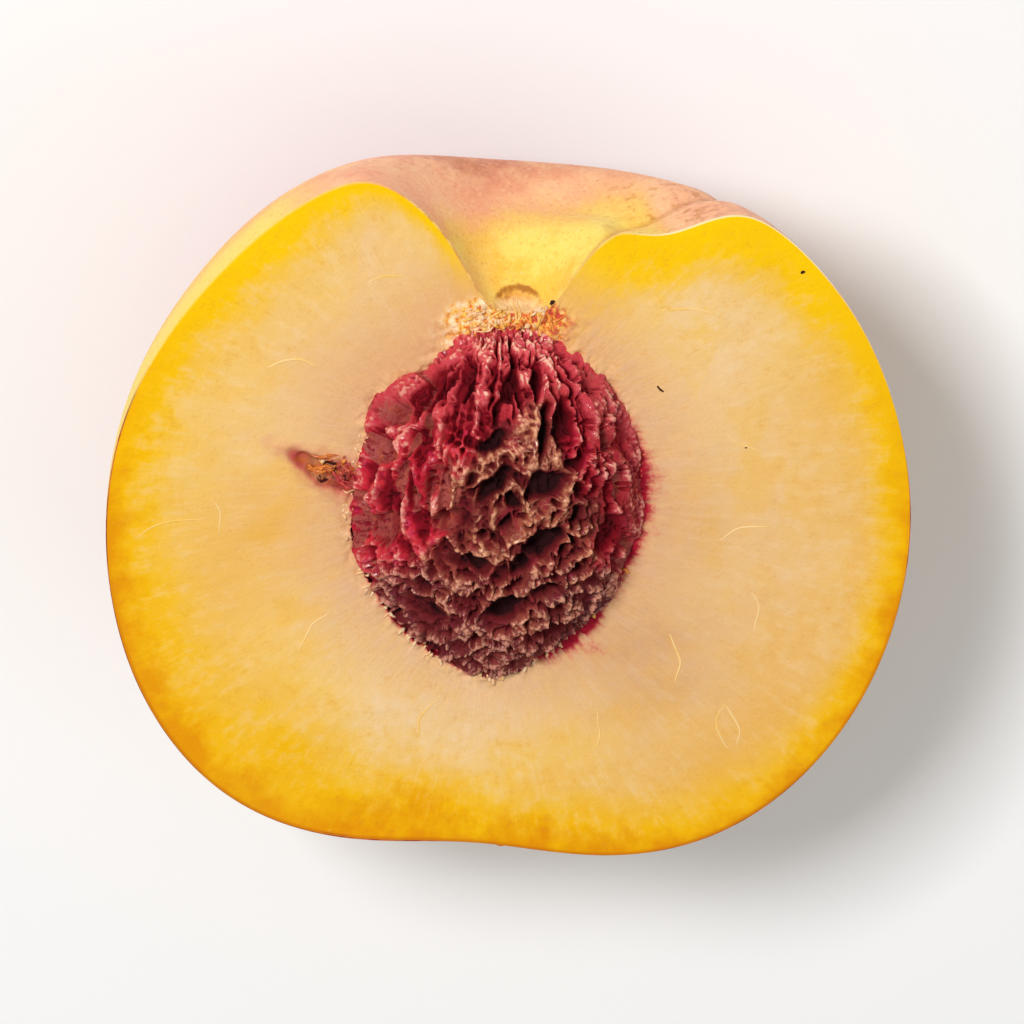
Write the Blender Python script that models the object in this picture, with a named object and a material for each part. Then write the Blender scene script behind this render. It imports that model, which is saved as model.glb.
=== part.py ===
# Half of a peach, cut along the stem through its middle, with the whole stone left in it.
# It lies on its round back with the cut up. +Y points to the stem end and +Z out of the cut.
# Units are metres, and angles are degrees until they meet a trigonometric function.

import math

import bmesh
import bpy
import numpy as np
from mathutils import Matrix

MM = 0.001

# The fruit, as distances from its middle
FRUIT_RADIUS = 38.5 * MM
BACK_RADIUS = 36.4 * MM
EIGHT_SIDEDNESS = 0.34 * MM

# The hollow round the stem: a wide bowl with a narrow well in it
BOWL_DEPTH = 6.7 * MM
BOWL_ANGLE = 23.3
BOWL_LEAN = 5.5
BOWL_SOFTNESS = 2.4
WELL_DEPTH = 9.1 * MM
WELL_ANGLE = 11.4
WELL_SOFTNESS = 1.85

# Where the fruit is flattened (or, where the depth is negative, fuller): degrees from the
# stem, degrees from straight behind the cut towards +X, depth, and spread in degrees
FLATTENINGS = (
    (174.5, -90.0, 5.4 * MM, 27.0),
    (49.0, -90.0, 1.15 * MM, 20.0),
    (27.0, 0.0, 2.4 * MM, 24.0),
    (62.0, 60.0, 3.3 * MM, 27.0),
    (60.0, 90.0, -0.6 * MM, 25.0),
)

# The seam groove runs out of the hollow, just behind the right shoulder of the cut
SEAM_DEPTH = 0.8 * MM
SEAM_BEHIND_CUT = 24.0
SEAM_SPREAD = 2.6
SEAM_START = 11.0
SEAM_END = 50.0

# The flat spot that the half rests on
REST_TRIM = 0.9 * MM
CUT_HEIGHT = BACK_RADIUS - REST_TRIM

# Where the fruit's middle stands, so that the origin is under the middle of the whole box
FRUIT_PLACE = (0.09 * MM, -0.10 * MM, CUT_HEIGHT)

# The stone's middle lies in the cut, and is measured from the fruit's
STONE_MIDDLE = (-1.5 * MM, 2.7 * MM, 0.0)
STONE_HALF_WIDTH = 13.7 * MM
STONE_HALF_LENGTH = 17.3 * MM
STONE_HALF_THICKNESS = 9.6 * MM
STONE_BLUNTNESS = 0.28
STONE_TIP_TAPER = 0.2
STONE_BEAK = 0.6 * MM
STONE_GAP = 0.3 * MM

# Lobes of the stone's edge: degrees from +X towards the stem, rise and spread in degrees
LOBES = (
    (168.0, -0.45 * MM, 12.0),
    (147.0, 0.6 * MM, 8.0),
    (120.0, -1.75 * MM, 14.0),
    (62.0, -0.5 * MM, 16.0),
    (-35.0, 0.3 * MM, 12.0),
    (198.0, 0.3 * MM, 10.0),
)

# Small pits all over the stone, which grow longer towards the stem end
PIT_DEPTH = 2.0 * MM
SMALL_PIT_SHARE = 0.42
PIT_SIZE = 2.9 * MM
PIT_STRETCH = 2.6
RIDGE_WIDTH = 0.42
PIT_WARP = 0.9 * MM

# Large pits: millimetres right and up of the stone's middle, half width, half length,
# turn in degrees from up towards the right, and depth as a share of PIT_DEPTH.
# They are measured as seen from VIEW_TILT degrees off the cut, towards the stem end.
VIEW_TILT = 22.0
LARGE_PITS = (
    (3.1, 11.3, 0.49, 1.8, 0, 1.0),
    (3.7, 6.5, 0.47, 2.5, 3, 1.0),
    (5.6, 7.5, 0.88, 2.1, 10, 1.0),
    (0.4, 10.7, 0.74, 1.8, 20, 1.0),
    (-3.8, 11.7, 0.78, 2.7, 10, 0.7),
    (-6.3, 11.1, 0.74, 1.5, 18, 0.7),
    (-10.6, 8.5, 1.27, 1.3, 0, 0.8),
    (-11.3, 4.7, 0.83, 1.3, 0, 0.8),
    (-11.7, -2.8, 1.32, 1.7, 0, 0.9),
    (-6.9, 1.9, 0.83, 1.8, 25, 0.6),
    (-1.2, 5.5, 0.78, 1.5, 55, 0.9),
    (-1.1, 1.3, 0.69, 2.3, 40, 1.0),
    (-5.0, -2.1, 0.88, 1.9, 75, 1.0),
    (4.3, 1.4, 1.23, 1.8, 70, 1.0),
    (7.5, 3.7, 0.64, 1.0, 20, 0.9),
    (3.9, -4.3, 1.03, 2.2, 55, 1.2),
    (1.8, -6.3, 0.83, 1.2, 30, 0.9),
    (9.0, 0.8, 0.49, 1.9, 20, 0.7),
    (11.0, -3.5, 1.10, 2.1, 40, 0.8),
    (-4.0, -6.1, 0.61, 2.1, 100, 1.0),
    (0.6, -10.6, 1.03, 2.2, 70, 1.2),
    (-7.4, -10.6, 1.13, 2.3, 125, 0.7),
    (5.3, -12.9, 0.69, 2.7, 70, 0.8),
    (4.2, -9.0, 0.74, 1.5, 80, 0.7),
)
PIT_OUTER_REACH = 1.5
PIT_INNER_REACH = 0.6

# The dried split in the flesh beside the stone
SPLIT_MIDDLE = (-18.7 * MM, 6.1 * MM, 0.2 * MM)
SPLIT_SIZE = (3.1 * MM, 1.15 * MM, 1.0 * MM)
SPLIT_TURN = -32.0

FRUIT_MERIDIANS = 76
FRUIT_RINGS = 50
RING_CROWDING = 1.3
STONE_SUBDIVISIONS = 6
STONE_KEPT_SHARE = 0.41
SOCKET_SUBDIVISIONS = 4
CROWDING = 0.35
FLAT_NORMAL = 0.9999


def clear_scene():
    for old in list(bpy.data.objects):
        bpy.data.objects.remove(old, do_unlink=True)


def new_collection(name):
    collection = bpy.data.collections.new(name)
    bpy.context.scene.collection.children.link(collection)
    return collection


def plain_material(name, colour, roughness):
    material = bpy.data.materials.new(name)
    material.use_nodes = True
    shader = material.node_tree.nodes["Principled BSDF"]
    shader.inputs["Base Color"].default_value = (*colour, 1.0)
    shader.inputs["Roughness"].default_value = roughness
    shader.inputs["Metallic"].default_value = 0.0
    material.diffuse_color = (*colour, 1.0)
    return material


def hump(distance, spread):
    """A bell curve that is 1 at distance 0."""
    return np.exp(-((distance / spread) ** 2))


def eased(share):
    """Runs smoothly from 0 to 1 as the share does, and stays level outside it."""
    share = np.clip(share, 0.0, 1.0)
    return share * share * (3.0 - 2.0 * share)


def step_down(angle, middle, softness):
    """A smooth step, 1 well below the middle angle and 0 well above it."""
    return 1.0 / (1.0 + np.exp((angle - middle) / softness))


def angle_from(directions, axis):
    """Degrees between each unit direction and an axis."""
    axis = np.asarray(axis, float) / np.linalg.norm(axis)
    return np.degrees(np.arccos(np.clip(directions @ axis, -1.0, 1.0)))


def fruit_axis(from_stem, lean):
    """The unit direction at degrees from the stem, leaning from straight behind to +X."""
    off_stem, aside = math.radians(from_stem), math.radians(lean)
    level = math.sin(off_stem)
    return (level * math.sin(aside), math.cos(off_stem), -level * math.cos(aside))


def fruit_radius(directions):
    """How far the skin lies from the fruit's middle, along unit directions."""
    x, y, z = directions.T
    from_stem = angle_from(directions, (0, 1, 0))
    round_stem = np.maximum(np.hypot(x, z), 1e-9)
    to_right = x / round_stem
    radius = 1.0 / np.sqrt((x**2 + y**2) / FRUIT_RADIUS**2 + z**2 / BACK_RADIUS**2)
    radius -= EIGHT_SIDEDNESS * np.cos(4 * np.radians(from_stem))

    bowl_angle = BOWL_ANGLE + BOWL_LEAN * to_right
    radius -= BOWL_DEPTH * step_down(from_stem, bowl_angle, BOWL_SOFTNESS)
    radius -= WELL_DEPTH * step_down(from_stem, WELL_ANGLE, WELL_SOFTNESS)

    for from_stem_end, lean, depth, spread in FLATTENINGS:
        axis = fruit_axis(from_stem_end, lean)
        radius -= depth * hump(angle_from(directions, axis), spread)

    behind_cut = np.degrees(np.arctan2(-z, x))
    seam_place = SEAM_BEHIND_CUT * eased((from_stem - SEAM_START) / SEAM_START)
    seam = hump((behind_cut - seam_place) * np.sin(np.radians(from_stem)), SEAM_SPREAD)
    seam *= step_down(from_stem, SEAM_END, 5.0)
    seam *= 1.0 - step_down(from_stem, SEAM_START, 1.0)
    return radius - SEAM_DEPTH * seam


def hashed(cell, salt):
    """An even, repeatable number from 0 to 1 for each whole-numbered cell."""
    mixed = cell[..., 0] * 73856093 + cell[..., 1] * 19349663 + cell[..., 2] * 83492791
    mixed = (mixed + salt * 40503) & 0xFFFFFFFF
    mixed = ((mixed ^ (mixed >> 15)) * 2246822519) & 0xFFFFFFFF
    mixed = ((mixed ^ (mixed >> 13)) * 3266489917) & 0xFFFFFFFF
    return ((mixed ^ (mixed >> 16)) & 0xFFFFFF) / float(0xFFFFFF)


def soft_noise(points, salt):
    """Smooth noise from -1 to 1: hashed values at whole-numbered corners, eased between."""
    floor = np.floor(points).astype(np.int64)
    part = points - floor
    part = eased(part)
    total = np.zeros(len(points))
    for corner in np.ndindex(2, 2, 2):
        corner = np.array(corner)
        weight = np.where(corner == 1, part, 1.0 - part).prod(axis=1)
        total += weight * hashed(floor + corner, salt)
    return 2.0 * total - 1.0


def cell_borders(points, salt):
    """How much farther the second nearest cell's middle is than the nearest: 0 on a border."""
    floor = np.floor(points).astype(np.int64)
    nearest = np.full(len(points), 9.0)
    second = np.full(len(points), 9.0)
    for offset in np.ndindex(3, 3, 3):
        cell = floor + np.array(offset) - 1
        jitter = np.stack([hashed(cell, salt + k) for k in range(3)], axis=1)
        distance = np.linalg.norm(cell + jitter - points, axis=1)
        second = np.minimum(second, np.maximum(nearest, distance))
        nearest = np.minimum(nearest, distance)
    return second - nearest


def stone_envelope(directions, grown=0.0):
    """The stone without its pits: a flattened egg, blunt at the stem end, with a beak.
    The lobes add a share of their rise by how close the direction is to theirs."""
    for turn, rise, spread in LOBES:
        lobe_axis = fruit_axis(90.0 - turn, 90.0)
        grown = grown + rise * hump(angle_from(directions, lobe_axis), spread)
    x, y, z = directions.T
    to_stem = np.clip(y, 0.0, 1.0)
    to_tip = np.clip(-y, 0.0, 1.0)
    across = 1.0 + STONE_BLUNTNESS * to_stem**6 - STONE_TIP_TAPER * to_tip**2
    beak = STONE_BEAK * np.clip((to_tip - 0.9) / 0.1, 0.0, 1.0) ** 2
    return np.stack(
        [
            x * across * (STONE_HALF_WIDTH + grown),
            y * (STONE_HALF_LENGTH + grown) - beak,
            z * across * (STONE_HALF_THICKNESS + grown),
        ],
        axis=1,
    )


def small_pits(places):
    """From 0 on a ridge to 1 in the bottom of a small pit."""
    warp = np.stack([soft_noise(places / (5.0 * MM), 11 + k) for k in range(3)], axis=1)
    cells = (places + PIT_WARP * warp) / PIT_SIZE
    stem_share = eased(0.4 + places[:, 1] / STONE_HALF_LENGTH)
    cells[:, 1] /= 1.0 + (PIT_STRETCH - 1.0) * stem_share
    return eased(cell_borders(cells, 3) / RIDGE_WIDTH)


def large_pits(places):
    """How deep the listed pits are at each place, as a share of PIT_DEPTH."""
    tilt = math.radians(VIEW_TILT)
    right = places[:, 0] / MM + 0.25 * soft_noise(places / (1.6 * MM), 21)
    up = (places[:, 1] * math.cos(tilt) - places[:, 2] * math.sin(tilt)) / MM
    up = up + 0.25 * soft_noise(places / (1.6 * MM), 22)
    deepest = np.zeros(len(places))
    for pit_right, pit_up, half_width, half_length, turn, depth in LARGE_PITS:
        cosine, sine = math.cos(math.radians(turn)), math.sin(math.radians(turn))
        across = (right - pit_right) * cosine - (up - pit_up) * sine
        along = (right - pit_right) * sine + (up - pit_up) * cosine
        reach = np.hypot(across / half_width, along / half_length)
        share = (PIT_OUTER_REACH - reach) / (PIT_OUTER_REACH - PIT_INNER_REACH)
        deepest = np.maximum(deepest, depth * eased(share))
    return deepest


def sphere_mesh(name, subdivisions, shape):
    """An icosphere whose unit directions the function shape moves to their places."""
    mesh = bpy.data.meshes.new(name)
    form = bmesh.new()
    bmesh.ops.create_icosphere(form, subdivisions=subdivisions, radius=1.0)
    directions = np.array([vertex.co for vertex in form.verts])
    directions /= np.linalg.norm(directions, axis=1)[:, None]
    for vertex, place in zip(form.verts, shape(directions), strict=True):
        vertex.co = place
    form.to_mesh(mesh)
    form.free()
    return mesh


def crowd(directions, upwards):
    """Draws a sphere's points towards +Z, or towards -Z where upwards is -1."""
    height = np.arccos(np.clip(directions[:, 2], -1.0, 1.0))
    crowded = height - upwards * CROWDING * np.sin(height)
    level = directions[:, :2] / np.maximum(np.sin(height), 1e-9)[:, None]
    return np.column_stack([level * np.sin(crowded)[:, None], np.cos(crowded)])


def pitted_stone(directions):
    """The stone's points: pits in all that stands above the cut, and none below it."""
    places = stone_envelope(crowd(directions, 1))
    above_cut = np.clip((places[:, 2] - 0.2 * MM) / (1.6 * MM), 0.0, 1.0)
    share = np.maximum(large_pits(places), SMALL_PIT_SHARE * small_pits(places))
    depth = PIT_DEPTH * share * above_cut
    inward = places / np.array([STONE_HALF_WIDTH, STONE_HALF_LENGTH, STONE_HALF_THICKNESS]) ** 2
    inward /= np.linalg.norm(inward, axis=1)[:, None]
    return places - inward * depth[:, None]


def place_object(name, mesh, collection, material, from_middle):
    placed = bpy.data.objects.new(name, mesh)
    collection.objects.link(placed)
    placed.location = [start + step for start, step in zip(FRUIT_PLACE, from_middle)]
    if material:
        mesh.materials.append(material)
    mesh.shade_smooth()
    return placed


def make_fruit(collection, material):
    """The flesh in its skin: a sphere with its poles at stem and tip, shaped and halved."""
    mesh = bpy.data.meshes.new("flesh_and_skin")
    form = bmesh.new()
    bmesh.ops.create_uvsphere(
        form, u_segments=FRUIT_MERIDIANS, v_segments=FRUIT_RINGS, radius=1.0
    )
    bmesh.ops.rotate(form, verts=form.verts, matrix=Matrix.Rotation(-math.pi / 2, 3, "X"))
    directions = np.array([vertex.co for vertex in form.verts])
    from_stem = np.arccos(np.clip(directions[:, 1], -1.0, 1.0))
    crowded = math.pi * (from_stem / math.pi) ** RING_CROWDING
    level = directions[:, [0, 2]] / np.maximum(np.sin(from_stem), 1e-9)[:, None]
    level *= np.sin(crowded)[:, None]
    directions = np.column_stack([level[:, 0], np.cos(crowded), level[:, 1]])
    directions /= np.linalg.norm(directions, axis=1)[:, None]
    places = directions * fruit_radius(directions)[:, None]
    for vertex, place in zip(form.verts, places, strict=True):
        vertex.co = place
    for height, facing in ((0.0, 1), (-CUT_HEIGHT, -1)):
        everything = form.verts[:] + form.edges[:] + form.faces[:]
        bmesh.ops.bisect_plane(
            form,
            geom=everything,
            dist=1e-6,
            plane_co=(0, 0, height),
            plane_no=(0, 0, facing),
            clear_outer=True,
        )
        open_edges = [edge for edge in form.edges if edge.is_boundary]
        bmesh.ops.contextual_create(form, geom=open_edges)
    bmesh.ops.recalc_face_normals(form, faces=form.faces)
    form.to_mesh(mesh)
    form.free()
    fruit = place_object("flesh_and_skin", mesh, collection, material, (0, 0, 0))
    for face in mesh.polygons:
        face.use_smooth = abs(face.normal.z) < FLAT_NORMAL or len(face.vertices) < 5
    return fruit


def cut_away(target, cutter):
    cut = target.modifiers.new("cut_" + cutter.name, "BOOLEAN")
    cut.operation = "DIFFERENCE"
    cut.solver = "EXACT"
    cut.object = cutter
    cutter.hide_render = True
    cutter.display_type = "WIRE"


def main():
    clear_scene()
    peach = new_collection("peach_half")
    cutters = new_collection("cutters")
    flesh_finish = plain_material("flesh", (0.86, 0.55, 0.19), 0.35)
    stone_finish = plain_material("stone", (0.28, 0.07, 0.06), 0.6)

    fruit = make_fruit(peach, flesh_finish)
    stone_mesh = sphere_mesh("stone", STONE_SUBDIVISIONS, pitted_stone)
    stone = place_object("stone", stone_mesh, peach, stone_finish, STONE_MIDDLE)
    thinned = stone.modifiers.new("fewer_triangles", "DECIMATE")
    thinned.ratio = STONE_KEPT_SHARE

    socket_mesh = sphere_mesh(
        "socket",
        SOCKET_SUBDIVISIONS,
        lambda directions: stone_envelope(crowd(directions, -1), STONE_GAP),
    )
    socket = place_object("socket", socket_mesh, cutters, None, STONE_MIDDLE)
    cut_away(fruit, socket)

    split_mesh = sphere_mesh("split", 3, lambda directions: directions * SPLIT_SIZE)
    split = place_object("split", split_mesh, cutters, None, SPLIT_MIDDLE)
    split.rotation_euler = (0, 0, math.radians(SPLIT_TURN))
    cut_away(fruit, split)


main()
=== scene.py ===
# Half of a ripe peach on its back, with the cut up and the stone left in it.
# Lengths are metres. +Y points to the stem end and +Z out of the cut.
import math
import bpy
import numpy as np
from mathutils import Matrix, Vector


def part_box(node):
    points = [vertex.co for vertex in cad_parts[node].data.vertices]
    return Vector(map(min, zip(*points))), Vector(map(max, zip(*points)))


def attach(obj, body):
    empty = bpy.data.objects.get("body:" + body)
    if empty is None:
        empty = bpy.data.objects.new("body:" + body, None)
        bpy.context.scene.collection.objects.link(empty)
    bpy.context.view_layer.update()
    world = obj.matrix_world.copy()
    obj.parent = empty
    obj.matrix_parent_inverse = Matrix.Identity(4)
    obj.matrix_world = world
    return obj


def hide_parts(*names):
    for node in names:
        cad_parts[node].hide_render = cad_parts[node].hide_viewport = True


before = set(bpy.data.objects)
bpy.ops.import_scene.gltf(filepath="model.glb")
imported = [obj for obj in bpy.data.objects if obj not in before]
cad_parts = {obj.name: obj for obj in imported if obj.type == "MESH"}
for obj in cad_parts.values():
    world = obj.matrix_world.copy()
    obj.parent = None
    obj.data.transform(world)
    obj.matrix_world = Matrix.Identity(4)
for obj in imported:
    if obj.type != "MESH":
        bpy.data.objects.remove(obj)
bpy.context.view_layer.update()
mm = 0.001


# Materials: sums on a Wire become Math nodes, every other node comes from Finish.add

class Wire:
    def __init__(self, finish, socket):
        self.finish, self.socket = finish, socket

    def calc(self, operation, *values):
        return self.finish.add("ShaderNodeMath", {"operation": operation},
                               dict(enumerate((self, *values))))

    def __add__(self, other):
        return self.calc("ADD", other)

    def __sub__(self, other):
        return self.calc("SUBTRACT", other)

    def __mul__(self, other):
        return self.calc("MULTIPLY", other)

    def __truediv__(self, other):
        return self.calc("DIVIDE", other)

    def __rsub__(self, other):
        return (self * -1).calc("ADD", other)

    __radd__ = __add__
    __rmul__ = __mul__

    def abs(self):
        return self.calc("ABSOLUTE")

    def atLeast(self, other):
        return self.calc("MAXIMUM", other)

    # a share's distance from a half, times a reach
    def swing(self, reach):
        return (self - 0.5) * reach

    # a smooth step from 0 at low to 1 at high; low may be the larger one
    def step(self, low, high):
        if low > high:
            return 1 - self.step(high, low)
        return self.finish.add("ShaderNodeMapRange", {"interpolation_type": "SMOOTHSTEP"},
                               {"Value": self, "From Min": low, "From Max": high})

    # lays another colour over this one by its share
    def lay(self, colour, share):
        self.socket = self.finish.mix(self, colour, share).socket


class Finish:
    def __init__(self, name, fixed):
        self.material = bpy.data.materials.new(name)
        self.material.use_nodes = True
        self.nodes = self.material.node_tree.nodes
        self.links = self.material.node_tree.links
        self.shader = self.nodes["Principled BSDF"]
        for socket, value in fixed.items():
            self.shader.inputs[socket].default_value = value
        self.place = self.add("ShaderNodeTexCoord", {}, {}, "Object")

    # a node of a kind, with its settings first and then the values or links of its sockets
    def add(self, kind, settings, sockets, output=0):
        node = self.nodes.new(kind)
        node.location = (-200 - 30 * (len(self.nodes) % 40), 400 - 25 * len(self.nodes))
        for key, value in settings.items():
            if key == "stops":
                ramp = node.color_ramp
                while len(ramp.elements) < len(value):
                    ramp.elements.new(1)
                for element, (place, colour) in zip(ramp.elements, value):
                    element.position, element.color = place, tint(colour)
            else:
                setattr(node, key, value)
        for key, value in sockets.items():
            if isinstance(value, Wire):
                self.links.new(value.socket, node.inputs[key])
            else:
                node.inputs[key].default_value = value
        return Wire(self, node.outputs[output])

    def mix(self, first, second, share):
        sockets = {0: share, 6: tint(first), 7: tint(second)}
        return self.add("ShaderNodeMix", {"data_type": "RGBA"}, sockets, 2)

    def ramp(self, stops, share):
        return self.add("ShaderNodeValToRGB", {"stops": stops}, {0: share})

    def stretch(self, vector, factors):
        return self.add("ShaderNodeVectorMath", {"operation": "MULTIPLY"}, {0: vector, 1: factors})

    def attribute(self, name, output="Fac"):
        return self.add("ShaderNodeAttribute", {"attribute_name": name}, {}, output)

    def attributes(self, *names):
        return [self.attribute(name) for name in names]

    # cloudy numbers from 0 to 1 with features of about size, in metres or in the vector's units
    def noise(self, size, detail=3, roughness=0.55, vector=None):
        sockets = {"Vector": vector or self.place, "Scale": 1 / size, "Detail": detail,
                   "Roughness": roughness}
        return self.add("ShaderNodeTexNoise", {}, sockets)

    def feed(self, **sockets):
        for name, wire in sockets.items():
            self.links.new(wire.socket, self.shader.inputs[name.replace("_", " ")])

    def bump(self, height, distance, strength=1):
        bumped = self.add("ShaderNodeBump", {}, {"Height": height, "Distance": distance,
                                                 "Strength": strength})
        self.feed(Normal=bumped)


# a colour as seen on a screen, from 0 to 255, turned to the shader's own scale; wires pass
def tint(colour):
    if isinstance(colour, Wire):
        return colour
    parts = [value / 255 for value in colour]
    return (*[p / 12.92 if p <= 0.04045 else ((p + 0.055) / 1.055) ** 2.4 for p in parts], 1)


# Number fields that the shapes share

# 1 at distance 0, falling off as a bell curve
def hump(distance, spread):
    return np.exp(-((distance / spread) ** 2))


# 0 to 1 along a share, level outside it
def eased(share):
    share = np.clip(share, 0, 1)
    return share * share * (3 - 2 * share)


# 1 well below the middle, 0 well above it
def stepDown(value, middle, softness):
    return 1 / (1 + np.exp(np.clip((value - middle) / softness, -60, 60)))


# an angle's difference from another, from -180 to 180 degrees
def turnBetween(angle, other):
    return (angle - other + 180) % 360 - 180


# 1 at the middle angle, falling off as a bell curve to both sides
def lobe(angle, middle, spread):
    return hump(turnBetween(angle, middle), spread)


# a repeatable number from 0 to 1 for each whole-numbered cell
def hashed(cell, salt):
    mixed = cell[..., 0] * 73856093 + cell[..., 1] * 19349663 + cell[..., 2] * 83492791
    mixed = (mixed + salt * 40503) & 0xFFFFFFFF
    mixed = ((mixed ^ (mixed >> 15)) * 2246822519) & 0xFFFFFFFF
    mixed = ((mixed ^ (mixed >> 13)) * 3266489917) & 0xFFFFFFFF
    return ((mixed ^ (mixed >> 16)) & 0xFFFFFF) / float(0xFFFFFF)


# smooth noise from -1 to 1: hashed corners, eased between. Its size is in mm, or none for points
# that are in cells already
def softNoise(points, salt, size=None):
    points = points / (size * mm) if size else points
    floor = np.floor(points).astype(np.int64)
    part = eased(points - floor)
    total = np.zeros(len(points))
    for corner in np.ndindex(2, 2, 2):
        corner = np.array(corner)
        weight = np.where(corner == 1, part, 1 - part).prod(axis=1)
        total += weight * hashed(floor + corner, salt)
    return 2 * total - 1


# octaves of smooth noise, each half the size and half the height of the last
def cloud(points, salt, size=None, octaves=3):
    points = points / (size * mm) if size else points
    total = sum(softNoise(points * 2**k, salt + 7 * k) * 0.5**k for k in range(octaves))
    return total / sum(0.5**k for k in range(octaves))


# for scattered cell middles: the nearest one's distance, the way from there to the border with
# its neighbour, and the nearest cell's own number from 0 to 1
def cells(points, salt):
    floor = np.floor(points).astype(np.int64)
    nearest, second, owner = np.full(len(points), 9.0), np.full(len(points), 9.0), np.zeros(len(points))
    for offset in np.ndindex(3, 3, 3):
        cell = floor + np.array(offset) - 1
        jitter = np.stack([hashed(cell, salt + k) for k in range(3)], axis=1)
        distance = np.linalg.norm(cell + jitter - points, axis=1)
        closer = distance < nearest
        second = np.where(closer, nearest, np.minimum(second, distance))
        owner = np.where(closer, hashed(cell, salt + 9), owner)
        nearest = np.where(closer, distance, nearest)
    return nearest, second - nearest, owner


# smooth noise along X, Y and Z
def shifts(points, salt, size):
    return np.stack([softNoise(points, salt + k, size) for k in range(3)], axis=1)


# vectors made one unit long
def unit(vectors):
    return vectors / np.maximum(np.linalg.norm(vectors, axis=-1, keepdims=True), 1e-12)


# Meshes from arrays

# quads between neighbouring rows and columns of a table of point numbers
def quads(index, closed=False, flip=False):
    if closed:
        index = np.concatenate([index, index[:, :1]], axis=1)
    corners = [index[:-1, :-1], index[:-1, 1:], index[1:, 1:], index[1:, :-1]]
    faces = np.stack([corner.ravel() for corner in corners], axis=1)
    return faces[:, ::-1] if flip else faces


# triangles from one point to a closed ring
def fan(tip, ring, flip=False):
    faces = np.stack([np.full(len(ring), tip), ring, np.roll(ring, -1)], axis=1)
    return faces[:, ::-1] if flip else faces


# closed tubes along paths (tubes, steps, 3), with their radii (tubes, steps) and pointed ends
def tubes(paths, radii, sides):
    count, steps = radii.shape
    ahead = unit(np.gradient(paths, axis=1))
    beside = unit(np.cross(ahead, np.array([0, 0, 1]) + 0.01 * ahead[:, :, ::-1]))
    above = np.cross(ahead, beside)
    turn = np.linspace(0, 2 * np.pi, sides, endpoint=False)[None, None, :, None]
    rings = paths[:, :, None] + radii[:, :, None, None] * (
        np.cos(turn) * beside[:, :, None] + np.sin(turn) * above[:, :, None])
    tips = paths[:, [0, -1]] + ahead[:, [0, -1]] * radii[:, [0, -1], None] * [[-0.8], [0.8]]
    points = np.concatenate([rings.reshape(count, -1, 3), tips], axis=1)
    index = np.arange(count * (steps * sides + 2)).reshape(count, -1)
    ringIndex = index[:, :-2].reshape(count, steps, sides)
    after = np.roll(ringIndex, -1, axis=2)
    walls = np.stack([ringIndex[:, :-1], after[:, :-1], after[:, 1:], ringIndex[:, 1:]], axis=-1)
    ends = [np.stack([index[:, -2, None] + 0 * after[:, 0], after[:, 0], ringIndex[:, 0]], axis=-1),
            np.stack([index[:, -1, None] + 0 * after[:, 0], ringIndex[:, -1], after[:, -1]], axis=-1)]
    return points.reshape(-1, 3), [walls.reshape(-1, 4), *[end.reshape(-1, 3) for end in ends]]


# a disc laid out as a warped square: signed reach, turn and the numbers of its outline
def discGrid(count):
    line = np.linspace(-1, 1, count)
    first, second = np.meshgrid(line, line, indexing="ij")
    wide = np.abs(first) > np.abs(second)
    reach = np.where(wide, first, second)
    safe = np.where(reach == 0, 1, reach)
    turn = np.where(wide, np.pi / 4 * second / safe, np.pi / 2 - np.pi / 4 * first / safe)
    index = np.arange(count * count).reshape(count, count)
    outline = np.concatenate([index[0, :-1], index[:-1, -1], index[-1, :0:-1], index[:0:-1, 0]])
    return reach.ravel(), turn.ravel(), index, outline


# closed pebbles with 20 faces each, at places (n, 3), with half sizes (n, 3), turned at random
def pebbles(places, sizes, rng):
    golden = (1 + math.sqrt(5)) / 2
    corners = np.array([(-1, golden, 0), (1, golden, 0), (-1, -golden, 0), (1, -golden, 0),
                        (0, -1, golden), (0, 1, golden), (0, -1, -golden), (0, 1, -golden),
                        (golden, 0, -1), (golden, 0, 1), (-golden, 0, -1), (-golden, 0, 1)])
    corners = corners / np.linalg.norm(corners[0])
    sides = np.array([(0, 11, 5), (0, 5, 1), (0, 1, 7), (0, 7, 10), (0, 10, 11), (1, 5, 9), (5, 11, 4),
                      (11, 10, 2), (10, 7, 6), (7, 1, 8), (3, 9, 4), (3, 4, 2), (3, 2, 6), (3, 6, 8),
                      (3, 8, 9), (4, 9, 5), (2, 4, 11), (6, 2, 10), (8, 6, 7), (9, 8, 1)])
    count = len(places)
    frames = np.linalg.qr(rng.normal(size=(count, 3, 3)))[0]
    frames *= np.sign(np.linalg.det(frames))[:, None, None]
    shapes = corners[None] * rng.uniform(0.65, 1.25, (count, 12, 1)) * sizes[:, None]
    points = np.einsum("nij,nkj->nki", frames, shapes) + places[:, None]
    return points.reshape(-1, 3), (sides[None] + 12 * np.arange(count)[:, None, None]).reshape(-1, 3)


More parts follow.
